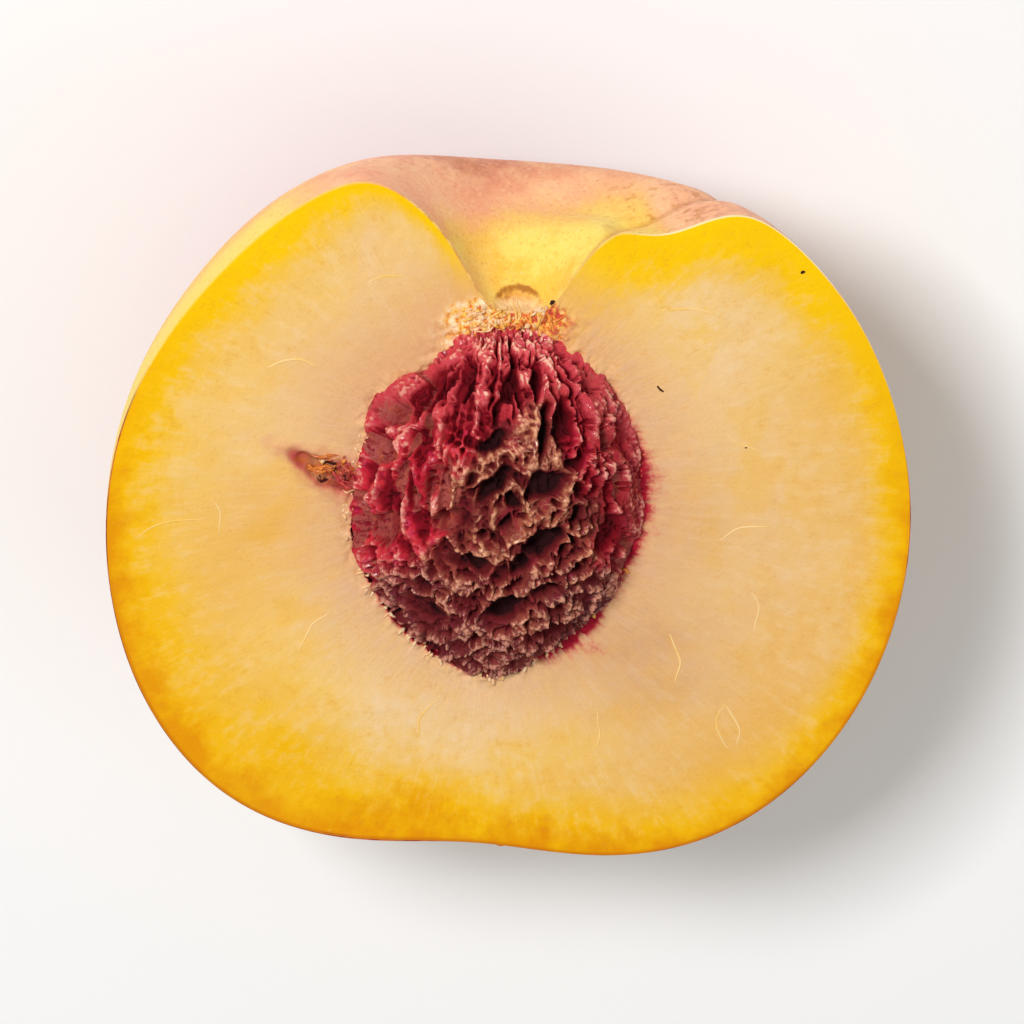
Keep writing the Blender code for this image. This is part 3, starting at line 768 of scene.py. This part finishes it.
# gold under the skin, cream within, rosy towards the stone, with faint radial fibres
def fleshFinish():
    finish = Finish("flesh", {"Specular IOR Level": 0.06, "Coat Roughness": 0.2, "Coat Weight": 0.08})
    streak = finish.attribute("streak", "Vector")
    band, toRim, toStone, halo, split, stain, tissue, paler, duller = finish.attributes(
        "band", "toRim", "toStone", "halo", "split", "stain", "tissue", "paler", "duller")
    across, upward = [finish.add("ShaderNodeSeparateXYZ", {}, {"Vector": finish.place}, axis)
                      for axis in "XY"]
    blotch = finish.noise(5 * mm, 2)
    mottle = finish.noise(1.3 * mm, 3, 0.66)
    grain = finish.noise(0.3 * mm, 1)
    wisps = finish.noise(1, 2, 0.6, finish.stretch(streak, (24, 24, 7)))
    hairs = finish.noise(1, 2, 0.6, finish.stretch(streak, (110, 110, 9)))
    depth = band + blotch.swing(2) + mottle.swing(1) + wisps.swing(0.9)
    stops = (0, 0.16, 0.27, 0.46, 1)
    upper = (254, 204, 0), (251, 198, 4), (246, 195, 66), (242, 196, 110), (240, 196, 134)
    lower = (230, 148, 0), (245, 184, 2), (246, 192, 44), (245, 198, 98), (241, 198, 132)
    scaled = (depth / 5).atLeast(0)
    upperTone, lowerTone = [finish.ramp(list(zip(stops, tones)), scaled) for tones in (upper, lower)]
    tone = finish.mix(lowerTone, upperTone, (upward + across * 0.05).step(-8 * mm, 30 * mm))
    veiled = finish.noise(7 * mm, 2, 0.7).step(0.47, 0.62) * band.step(0.4, 1.6)
    veiled = veiled * (0.35 + 0.65 * (across.abs() - upward * 0.8).step(4 * mm, 22 * mm))
    tone.lay((243, 190, 78), veiled * toStone.step(0.5, 4) * 0.6)
    rosy = finish.mix((232, 182, 140), (222, 166, 128), mottle.step(0.4, 0.65))
    tone.lay(rosy, toStone.step(10, 0) * (0.35 + 0.75 * wisps))
    dulled = (across - upward * 0.6).step(8 * mm, 38 * mm) * band.step(0.7, 2)
    tone.lay((230, 178, 126), dulled * 0.45)
    uneven = 0.8 + (blotch + mottle - 1) * 1.2
    golden = finish.mix((236, 176, 70), (244, 184, 24), band.step(2.6, 1.2))
    tone.lay((242, 206, 160), paler * uneven * band.step(0.7, 1.8) * 0.75)
    tone.lay(golden, paler * uneven * -0.8)
    # painted shade from the dull fields, mostly beside the stone's lower right
    tone.lay((214, 160, 114), duller * uneven * 0.75)
    pale = (wisps * 0.35 + hairs * 0.2 + mottle * 0.45).step(0.48, 0.64) * band.step(0.2, 1.3)
    tone.lay(finish.mix(tone, (252, 228, 190), 0.5), pale * 0.3)
    dark = (mottle * 0.5 + hairs * 0.25 + grain * 0.25).step(0.48, 0.32)
    tone.lay(finish.mix(tone, (222, 148, 40), 0.5), dark * 0.55)
    shade = toStone.step(12, 2) * upward.step(6 * mm, 20 * mm) * across.step(12 * mm, -2 * mm)
    tone.lay((226, 168, 112), shade * 0.45)
    veil = (hairs * 0.6 + grain * 0.4).step(0.55, 0.4) * toStone.step(7, 1)
    tone.lay((200, 130, 88), veil * 0.09)
    torn = finish.noise(0.7 * mm, 2)
    crumbTones = [(0.22, (252, 224, 180)), (0.38, (246, 198, 138)), (0.5, (250, 190, 84)),
                  (0.62, (230, 128, 62)), (0.78, (208, 78, 64))]
    crumbly = torn * 1.6 - 0.3 + across.step(-5 * mm, 5 * mm).swing(0.25)
    crumbTone = finish.ramp(crumbTones, crumbly)
    tone.lay(crumbTone, (tissue + mottle.swing(0.8)).step(0.15, 0.55))
    crimson = finish.mix((210, 84, 84), (168, 20, 44), halo.step(0.25, 0.7))
    tone.lay(crimson, (halo + hairs.swing(0.2) + grain.swing(0.4)).step(0.08, 0.62))
    bruised = finish.mix((192, 78, 74), (190, 122, 82), across.step(-20.4 * mm, -18.4 * mm))
    bruised.lay((186, 98, 44), torn.step(0.5, 0.58) * 0.8)
    bruised.lay((158, 36, 50), (across - upward * 0.6).step(-21 * mm, -18.6 * mm) * 0.75)
    bruised.lay((72, 24, 24), torn.step(0.44, 0.36) * across.step(-19.5 * mm, -18 * mm))
    tone.lay((208, 114, 92), (split + stain + mottle.swing(0.5)).step(0.1, 0.9))
    tone.lay(bruised, (split + mottle.swing(0.6)).step(0.2, 0.6))
    skinward = toRim.step(0.6, 0.25) * upward.step(2 * mm, -18 * mm)
    tone.lay((196, 104, 10), skinward * 0.6)
    finish.feed(Base_Color=tone, Roughness=0.5 + 0.3 * mottle.step(0.3, 0.7))
    finish.bump(mottle * 0.55 + grain * 0.45, 0.16 * mm, 0.5)
    return finish


cutPoints, stoneLip = makeFlesh(fleshFinish())


# the height of the cut at places in mm, from its nearest point
def onCut(flat):
    heights = np.zeros(len(flat))
    for first in range(0, len(flat), 50):
        gaps = np.linalg.norm(flat[first:first + 50, None] - cutPoints[None, :, :2] / mm, axis=2)
        heights[first:first + 50] = cutPoints[gaps.argmin(axis=1), 2]
    return heights / mm


# Small things on the cut: torn strands, crumbs, veins and specks

trimmings = {
    "seed": 7, "fibres": 46, "fibreWidth": (0.1, 0.2), "fibreLength": (0.4, 1.2),
    "strandSteps": 7, "strandSides": 6, "veinSteps": 16, "speckSteps": 9, "sides": 8,
    # bundles of strands in mm: start and end in the cut, how many, scatter, half width, and a tone
    # from 0 cream by 0.2 peach, 0.35 yellow, 0.55 orange and 0.75 brown to 1 crimson
    "bundles": [(-0.5, 20.4, -0.4, 22.7, 2, 0.3, 0.17, 0.35), (-4, 20, -2.8, 21.9, 3, 0.7, 0.13, 0.12),
                (-2.2, 20.6, -1.6, 22, 3, 0.6, 0.13, 0.24), (1.2, 20.6, 1.9, 22, 3, 0.6, 0.13, 0.3),
                (3.3, 19.8, 3.3, 21.6, 3, 0.6, 0.13, 0.52), (-19, 7.1, -16.5, 7.3, 3, 0.15, 0.12, 0.72),
                (-19.2, 5.9, -16.9, 5.5, 3, 0.15, 0.12, 0.6),
                (-18.2, 6.6, -17.4, 6.5, 2, 0.2, 0.12, 0.18),
                (-16.6, 5.2, -15.2, 3.9, 4, 0.3, 0.13, 0.95), (-16, 6.4, -14.8, 5.4, 4, 0.3, 0.12, 0.8)],
    # clusters of crumbs: degrees from the stem round the stone, half width in degrees, mm outwards
    # from the lip, how many, half size in mm, tone and its scatter
    "clusters": [(-1, 17, -0.2, 2.2, 90, 0.21, 0.26, 0.16), (0, 18, -0.4, 0.4, 60, 0.17, 0.95, 0.12),
                 (-1, 16, 0.3, 1.6, 30, 0.19, 0.6, 0.08), (13, 6, 0.1, 2.2, 34, 0.2, 0.52, 0.1),
                 (11, 3, 2, 3, 12, 0.18, 0.04, 0.06), (-7, 4, 1.6, 2.9, 14, 0.18, 0.14, 0.12),
                 (-66, 9, -0.1, 1, 12, 0.15, 0.08, 0.08), (-97, 14, -0.1, 1.1, 16, 0.16, 0.08, 0.08),
                 (-132, 9, -0.5, 0.6, 14, 0.2, 0.1, 0.12), (-156, 7, -0.6, 0.2, 12, 0.16, 0.85, 0.2),
                 (178, 16, -0.3, 0.5, 8, 0.14, 0.14, 0.14),
                 (80, 34, -0.1, 0.3, 24, 0.12, 0.97, 0.05), (-77, 5, 0.2, 3.6, 44, 0.17, 0.8, 0.16)],
    # veins in mm: start, bend and end in the cut, then half width
    "veins": [(-23.4, 16.1, -21.2, 17.4, -18.5, 16.2, 0.13), (-35.4, -1, -32, 1.2, -28.6, 0.9, 0.1),
              (19.6, -1.2, 22, 0.4, 24.6, 0.2, 0.1), (13.2, 21.9, 15.6, 22.3, 18.4, 21.4, 0.1),
              (23.2, -6.6, 24.2, -8.6, 23.4, -10.8, 0.1), (15.4, -11, 17, -13.2, 16.2, -16, 0.13),
              (20.6, -18.2, 22.9, -19.4, 22.4, -22.6, 0.11), (20.8, -18.4, 19.6, -21, 21.8, -23, 0.1),
              (-28.8, 4, -27.2, 2, -27.4, -0.6, 0.09), (-14.2, 24.4, -12.6, 25.4, -10.8, 25.2, 0.09),
              (19.8, 9.6, 21.4, 8, 23.6, 7.6, 0.08), (-17, -8.4, -19.2, -10.2, -19.8, -12.6, 0.1),
              (8.8, -18.6, 9.4, -21, 8.6, -23.4, 0.1), (-6.2, -17.2, -8.6, -19, -8.2, -21.6, 0.09)],
    # dark specks in mm: place, half length, half width and turn
    "specks": [(13.5, 14, 0.5, 0.13, -44), (26.4, 25.6, 0.24, 0.2, 20),
               (3.1, 22.6, 0.3, 0.2, 30), (21.8, 8.1, 0.14, 0.1, 0),
               (-17, 6.5, 0.34, 0.26, -20), (-16.7, 5.6, 0.3, 0.18, 30)],
}


# tubes along paths in the cut, (tubes, steps, 2) in mm, sunk by a share of their radii
def tubesOnCut(flat, radii, sunk):
    height = onCut(flat.reshape(-1, 2)).reshape(flat.shape[:2])
    paths = np.dstack([flat, height - sunk * radii])
    return tubes(paths * mm + fruit["middle"], radii * mm, trimmings["sides"])


# two tones in patches of a size
def patchyFinish(name, fixed, first, second, size, low, high):
    finish = Finish(name, fixed)
    finish.feed(Base_Color=finish.mix(first, second, finish.noise(size).step(low, high)))
    return finish


# cream, peach, yellow, orange, brown and crimson by the tone attribute
def tornFinish():
    finish = Finish("torn", {"Specular IOR Level": 0.3, "Roughness": 0.45, "Coat Weight": 0.35,
                             "Coat Roughness": 0.18})
    tones = [(0, (247, 212, 170)), (0.2, (244, 194, 138)), (0.35, (250, 198, 84)),
             (0.55, (238, 140, 54)), (0.75, (190, 92, 46)), (0.9, (214, 80, 70)),
             (1, (164, 20, 46))]
    tone = finish.attribute("tone") + finish.noise(0.5 * mm).swing(0.3)
    finish.feed(Base_Color=finish.ramp(tones, tone))
    return finish


# fibres and bundles share one piece; crumbs, veins and specks are a piece each
def addTrimmings():
    rng = np.random.default_rng(trimmings["seed"])
    steps, sides = trimmings["strandSteps"], trimmings["strandSides"]
    along = np.linspace(0, 1, steps)
    torn = tornFinish()
    out = stoneLip[:, :2] - stone["middle"][:2]
    lipTurn = np.degrees(np.arctan2(out[:, 0], out[:, 1]))
    out = unit(out)

    # short fibres start at the lip and lie outwards or across the gap
    count = trimmings["fibres"]
    weight = 0.1 + lobe(lipTurn, stone["tornSide"], 34) + 0.8 * lobe(lipTurn, 176, 20)
    weight *= np.linalg.norm(np.roll(stoneLip, -1, axis=0) - stoneLip, axis=1)
    root = rng.choice(len(stoneLip), count, p=weight / weight.sum())
    length = rng.uniform(*trimmings["fibreLength"], count) * np.where(rng.random(count) < 0.6, 1, -0.5)
    starts = stoneLip[root, :2] / mm - 0.1 * out[root]
    ends = starts + out[root] * length[:, None]
    radii = rng.uniform(*trimmings["fibreWidth"], count)
    redness = lobe(lipTurn[root], 90, 40) * 0.9
    tones = np.clip(redness + rng.uniform(0, 0.2, count), 0, 1)

    # strands of the bundles, each scattered at both ends
    rows = np.array(trimmings["bundles"])
    rows = np.repeat(rows, rows[:, 4].astype(int), axis=0)
    scatter = rng.normal(0, 1, (len(rows), 4)) * rows[:, 5:6]
    starts = np.concatenate([starts, rows[:, 0:2] + scatter[:, :2]])
    ends = np.concatenate([ends, rows[:, 2:4] + scatter[:, 2:]])
    radii = np.concatenate([radii, rows[:, 6] * rng.uniform(0.6, 1.4, len(rows))])
    tones = np.concatenate([tones, np.clip(rows[:, 7] + rng.normal(0, 0.07, len(rows)), 0, 1)])
    count = len(starts)
    way = ends - starts
    sideways = np.stack([-way[:, 1], way[:, 0]], axis=1)
    bend = rng.normal(0, 0.14, (count, 2))
    bow = bend[:, :1] * np.sin(np.pi * along) + bend[:, 1:] * np.sin(2 * np.pi * along) * 0.6
    flat = starts[:, None] + way[:, None] * along[None, :, None] + sideways[:, None] * bow[:, :, None]
    # a strand bridges dents that are over 0.2 mm deeper than its mean height
    height = onCut(flat.reshape(-1, 2)).reshape(count, steps)
    height = np.maximum(height, height.mean(axis=1, keepdims=True) - 0.2)
    height += rng.uniform(0, 0.2, count)[:, None] * np.sin(np.pi * along) - 0.2 * radii[:, None]
    radii = radii[:, None] * (1 - 0.6 * np.abs(2 * along - 0.8)[None] ** 2).clip(0.25, 1)
    points, faces = tubes(np.dstack([flat, height]) * mm + fruit["middle"], radii * mm, sides)
    addPiece("torn_strands", points, faces, torn, "flesh", tone=np.repeat(tones, steps * sides + 2))

    # crumbs lie at the lip of the stone's socket, in the torn tissue and in the split
    rows = np.array(trimmings["clusters"])
    rows = np.repeat(rows, rows[:, 4].astype(int), axis=0)
    count = len(rows)
    turns = rows[:, 0] + rows[:, 1] * rng.uniform(-1, 1, count) * rng.uniform(0.3, 1, count)
    nearest = np.abs(turnBetween(lipTurn[None], turns[:, None])).argmin(axis=1)
    flat = stoneLip[nearest, :2] / mm + out[nearest] * rng.uniform(rows[:, 2], rows[:, 3])[:, None]
    sizes = rows[:, 5:6] * rng.uniform(0.5, 1.5, (count, 1)) * rng.uniform(0.7, 1.3, (count, 3))
    sizes = sizes * np.array([1.7, 0.9, 0.6])
    height = onCut(flat) + rng.uniform(-0.6, 0.4, count) * sizes.mean(axis=1)
    places = np.column_stack([flat, height])
    points, faces = pebbles(places * mm + fruit["middle"], sizes * mm, rng)
    tones = np.clip(rows[:, 6] + rows[:, 7] * rng.normal(0, 1, count), 0, 1)
    addPiece("crumbs", points, [faces], torn, "flesh", tone=np.repeat(tones, len(points) // count))

    # veins lie half sunk in the cut, thin at both ends
    rows = np.array(trimmings["veins"])
    along = np.linspace(0, 1, trimmings["veinSteps"])[None, :, None]
    flat = rows[:, None, 0:2] * (1 - along) ** 2 + rows[:, None, 2:4] * 2 * along * (1 - along)
    flat = flat + rows[:, None, 4:6] * along**2
    flat += 0.12 * np.sin(along * np.array([9, 7]) + rows[:, None, :2])
    radii = rows[:, 6:] * np.sin(np.pi * (0.06 + 0.88 * along[:, :, 0])) ** 0.7
    fixed = {"Specular IOR Level": 0.1, "Roughness": 0.5, "Coat Weight": 0.15, "Coat Roughness": 0.25}
    finish = patchyFinish("vein", fixed, (250, 214, 150), (246, 200, 96), 6 * mm, 0.4, 0.6)
    addPiece("veins", *tubesOnCut(flat, radii, 0.35), finish, "flesh")

    # specks are flat dried crumbs with a ragged outline
    rows = np.array(trimmings["specks"])
    along = np.linspace(-1, 1, trimmings["speckSteps"])[None, :]
    turn = np.radians(rows[:, 4:])
    flat = np.stack([rows[:, :1] + rows[:, 2:3] * along * np.cos(turn),
                     rows[:, 1:2] + rows[:, 2:3] * along * np.sin(turn)], axis=2)
    flat += 0.04 * np.sin(11 * flat[:, :, ::-1])
    radii = rows[:, 3:4] * np.sqrt(1.02 - along**2) * (1 + 0.2 * np.sin(9 * along + rows[:, :1]))
    fixed = {"Specular IOR Level": 0.2, "Roughness": 0.6}
    finish = patchyFinish("speck", fixed, (92, 44, 22), (40, 16, 10), 0.25 * mm, 0.35, 0.6)
    addPiece("specks", *tubesOnCut(flat, radii, 0.5), finish, "flesh")


addTrimmings()


# The downy skin

skin = {
    "rows": 300, "columns": 150, "crowding": 1.3,
    # the stem's scar: its edge in degrees, how much wider it is behind, its rise and roughness
    "scarEdge": 6, "scarBehind": 3, "scarRise": 0.3 * mm, "scarRough": 0.35 * mm,
    "waves": 0.16 * mm, "waveSize": 11 * mm,
}


# a thin closed shell round the stem's axis: outer side, inner side and the strip at the cut
def makeSkin(finish):
    rows, columns = skin["rows"], skin["columns"]
    fromStem = 180 * (np.arange(1, rows) / rows) ** skin["crowding"]
    lean = np.linspace(-1, 1, columns + 1)
    lean = 90 * np.sign(lean) * (1 - (1 - np.abs(lean)) ** 1.25)
    angles, leans = np.meshgrid(fromStem, lean, indexing="ij")
    directions = fruitAxis(angles, leans).reshape(-1, 3)
    flatAngles = angles.ravel()
    radius = fruitRadius(directions)
    places = directions * radius[:, None]
    scarEdge = skin["scarEdge"] + skin["scarBehind"] * np.cos(np.radians(leans.ravel())) ** 2
    scar = stepDown(flatAngles, scarEdge - 0.3, 0.4)
    scarRim = hump(flatAngles - scarEdge, 0.7)
    radius = radius - skin["waves"] * (0.5 + 0.5 * softNoise(places / skin["waveSize"], 301))
    radius += scar * skin["scarRough"] * cloud(places, 302, 0.8)
    ragged = 0.6 + 0.6 * softNoise(places, 303, 1.5)
    radius += skin["scarRise"] * scarRim * ragged
    outer = (directions * radius[:, None]).reshape(rows - 1, columns + 1, 3)
    outer[:, [0, -1], 2] = 0
    across, down = np.gradient(outer, axis=1), np.gradient(outer, axis=0)
    normals = unit(np.cross(across, down))
    normals *= np.sign((normals * outer).sum(axis=2).mean())
    inner = outer - normals * flesh["skinThickness"]
    inner[:, [0, -1], 2] = 0
    floor = -fruit["middle"][2]
    outer[..., 2] = np.maximum(outer[..., 2], floor)
    inner[..., 2] = np.maximum(inner[..., 2], floor + flesh["skinThickness"])
    poles = np.array([[0.0, 1.0, 0.0], [0.0, -1.0, 0.0]])
    poles *= fruitRadius(poles)[:, None]
    innerPoles = poles - np.sign(poles) * flesh["skinThickness"]
    points = np.concatenate([outer.reshape(-1, 3), poles, inner.reshape(-1, 3), innerPoles])

    # each side's table of point numbers runs from the stem's pole to the tip's
    half = len(points) // 2
    index = np.arange(half - 2).reshape(rows - 1, columns + 1)
    ends = [np.stack([np.full(columns, half - 2), index[0, 1:], index[0, :-1]], axis=1),
            np.stack([np.full(columns, half - 1), index[-1, :-1], index[-1, 1:]], axis=1)]
    innerEnds = [end[:, ::-1] + half for end in ends]
    faceSets = [quads(index), *ends, quads(index + half, flip=True), *innerEnds]
    for column, flip in ((0, True), (columns, False)):
        line = np.concatenate([[half - 2], index[:, column], [half - 1]])
        faceSets.append(quads(np.stack([line, line + half]), flip=flip))
    crease = alongSeam(directions, flatAngles, 0.9, 12, 46, 4)
    right, up = asSeen(directions * radius[:, None])
    # each field with its values at the stem's pole and the tip's
    fields = dict(stemAngle=(flatAngles, 0, 180), lean=(leans.ravel(), 0, 0),
                  scar=(scar, 1, 0), scarRim=(scarRim, 0, 0), crease=(crease, 0, 0),
                  right=(right, 0, 0), up=(up, 24, -30),
                  behind=(-directions[:, 2] * radius / mm, 0, 0))
    fields = {name: np.tile(np.hstack(values), 2) for name, values in fields.items()}
    addPiece("peach_skin", points + fruit["middle"], faceSets, finish, "flesh", "flesh_and_skin", 55,
             **fields)


# yellow in the hollow and by the seam, salmon over the shoulders, deep red over the back
def skinFinish():
    finish = Finish("skin", {"Specular IOR Level": 0.12, "Sheen Weight": 0.18,
                             "Sheen Roughness": 0.4, "Sheen Tint": (1, 0.8, 0.75, 1)})
    stemAngle, lean, scar, scarRim, crease, behind, right, up = finish.attributes(
        "stemAngle", "lean", "scar", "scarRim", "crease", "behind", "right", "up")
    cloudy = finish.noise(16 * mm, 2, 0.5)
    blotch = finish.noise(5 * mm, 3, 0.6)
    mottle = finish.noise(1.1 * mm, 3, 0.6)
    speckle = finish.noise(0.4 * mm, 3, 0.7)
    yellow = finish.mix((253, 222, 110), (251, 200, 78), blotch.step(0.4, 0.65))
    # paler yellow on the hollow's left wall: painted light that lifts the shade falling there
    yellow.lay((255, 204, 116), right.step(-1, -5) * up.step(27, 23) * 0.9)
    salmon = finish.mix((254, 194, 146), (250, 172, 130), blotch.step(0.35, 0.65))
    salmon.lay((255, 202, 148), right.step(4, 12) * 0.35)
    red = finish.mix((196, 74, 58), (150, 40, 48), cloudy.step(0.4, 0.65))
    # mm up as seen, shifted to ripen the left wall and the far side of the crease early
    ripeness = up + blotch.swing(4) + cloudy.swing(3) + mottle.swing(2.5)
    ripeness = ripeness + right.step(2, -8) * 1.5 + right.step(12, 17) * 8
    ripeness = ripeness - right.step(5, 9) * right.step(14, 11) * 1.5
    ripe = ripeness.step(24.5, 34)
    orange = finish.mix((250, 190, 100), salmon, ripe.step(0.3, 0.9))
    tone = finish.mix(yellow, orange, ripe.step(0, 0.6))
    tone.lay((220, 134, 118), ripeness.step(33, 37) * mottle.step(0.4, 0.6) * 0.5)
    deep = (behind + cloudy.swing(24) + blotch.swing(9) + mottle.swing(6)).step(10, 30)
    tone.lay(red, deep)
    patch = (cloudy + blotch.swing(0.25) + mottle.swing(0.15)).step(0.56, 0.78)
    tone.lay((240, 172, 72), patch * behind.step(10, 22) * 0.8)
    beside = (behind + blotch.swing(7) + mottle.swing(3)).step(15, 4) * lean.step(0, -10)
    gilded = finish.mix((251, 220, 104), (247, 192, 92), (behind + blotch.swing(6)).step(3, 10))
    tone.lay(gilded, beside * stemAngle.step(26, 40))
    tone.lay((255, 230, 186), speckle.step(0.55, 0.72) * 0.35)
    tone.lay((178, 78, 72), speckle.step(0.45, 0.3) * 0.28)
    dotted = right.step(7, 10) * right.step(20, 16) * mottle.step(0.52, 0.66)
    tone.lay((204, 138, 40), dotted * behind.step(16, 9) * 0.6)
    # browner along the seam's crease: painted shade in the groove
    tone.lay((176, 96, 30), crease * 0.4)
    scarTone = finish.mix((226, 150, 64), (190, 104, 38), mottle.step(0.4, 0.6))
    scarTone.lay((252, 216, 158), (stemAngle + mottle.swing(3)).step(8.5, 6) * 0.85)
    tone.lay(scarTone, scar)
    rimShare = (scarRim + mottle.swing(1.2)).step(0.5, 1) * lean.abs().step(62, 25)
    tone.lay((154, 78, 22), rimShare * 0.75)
    # the skin's own edge at the cut: pale on the right, brownish in the hollow's left wall
    atCut = behind.step(0.45, 0.05)
    tone.lay((255, 236, 176), atCut * right.step(9, 14) * stemAngle.step(56, 44))
    hollowEdge = atCut * right.step(-1, -3) * right.step(-14, -9)
    brownish = finish.mix((248, 204, 116), (222, 160, 84), mottle.step(0.4, 0.6))
    tone.lay(brownish, hollowEdge * stemAngle.step(60, 40))
    tone.lay((253, 212, 60), atCut * right.step(-12, -16) * stemAngle.step(66, 54) * 0.8)
    redEdge = atCut * (stemAngle - lean.step(60, 80) * 6).step(62, 76)
    tone.lay(finish.mix((150, 52, 30), (208, 120, 60), blotch.step(0.4, 0.6)), redEdge)
    finish.feed(Base_Color=tone, Roughness=0.85 - 0.2 * speckle)
    finish.bump(speckle, 0.07 * mm, 0.6)
    return finish


makeSkin(skinFinish())


# Floor, light and camera

view = {
    "tilt": 22, "yaw": -5, "distance": 0.62, "lens": 232, "sensor": 36, "target": (0, 1.6 * mm, 0),
    "floorSize": 4, "floorDrop": 0.2 * mm, "floorTone": (0.97, 0.97, 0.97, 1), "worldStrength": 0.38,
    # area lamps, aimed at a place in the cut: name, place, size, power
    "aim": (0, 0, 30 * mm),
    "lamps": [("key", (-0.35, 0.4, 0.75), 0.22, 5.6), ("fill", (0.6, -0.2, 0.7), 0.6, 0.9)],
}


# a wide pale floor, an even white world and two area lamps
def makeStage():
    bpy.ops.mesh.primitive_plane_add(size=view["floorSize"], location=(0, 0, -view["floorDrop"]))
    floor = bpy.context.object
    floor.name = "floor"
    finish = Finish("floor", {"Roughness": 0.9, "Base Color": view["floorTone"]})
    floor.data.materials.append(finish.material)
    world = bpy.data.worlds.new("studio")
    bpy.context.scene.world = world
    world.use_nodes = True
    background = world.node_tree.nodes["Background"]
    background.inputs["Color"].default_value = (1, 1, 1, 1)
    background.inputs["Strength"].default_value = view["worldStrength"]
    for name, place, size, power in view["lamps"]:
        data = bpy.data.lights.new(name, "AREA")
        data.size, data.energy = size, power
        lamp = bpy.data.objects.new(name, data)
        lamp.location = place
        ahead = Vector(view["aim"]) - Vector(place)
        lamp.rotation_euler = ahead.to_track_quat("-Z", "Y").to_euler()
        bpy.context.scene.collection.objects.link(lamp)


# the camera looks at the cut from 22 degrees off its normal, with the stem end up
def makeCamera():
    tilt, yaw = math.radians(view["tilt"]), math.radians(view["yaw"])
    back = Vector((math.sin(yaw), math.sin(tilt), math.cos(tilt))).normalized()
    up = Vector((0, math.cos(tilt), -math.sin(tilt)))
    right = up.cross(back).normalized()
    up = back.cross(right)
    data = bpy.data.cameras.new("camera")
    data.lens, data.sensor_width = view["lens"], view["sensor"]
    camera = bpy.data.objects.new("camera", data)
    target = Vector(fruit["middle"]) + Vector(view["target"])
    turned = Matrix((right, up, back)).transposed().to_4x4()
    camera.matrix_world = Matrix.Translation(target + back * view["distance"]) @ turned
    bpy.context.scene.collection.objects.link(camera)
    bpy.context.scene.camera = camera


makeStage()
makeCamera()
bpy.context.scene.view_settings.view_transform = "Standard"
print("stage, light and camera set")
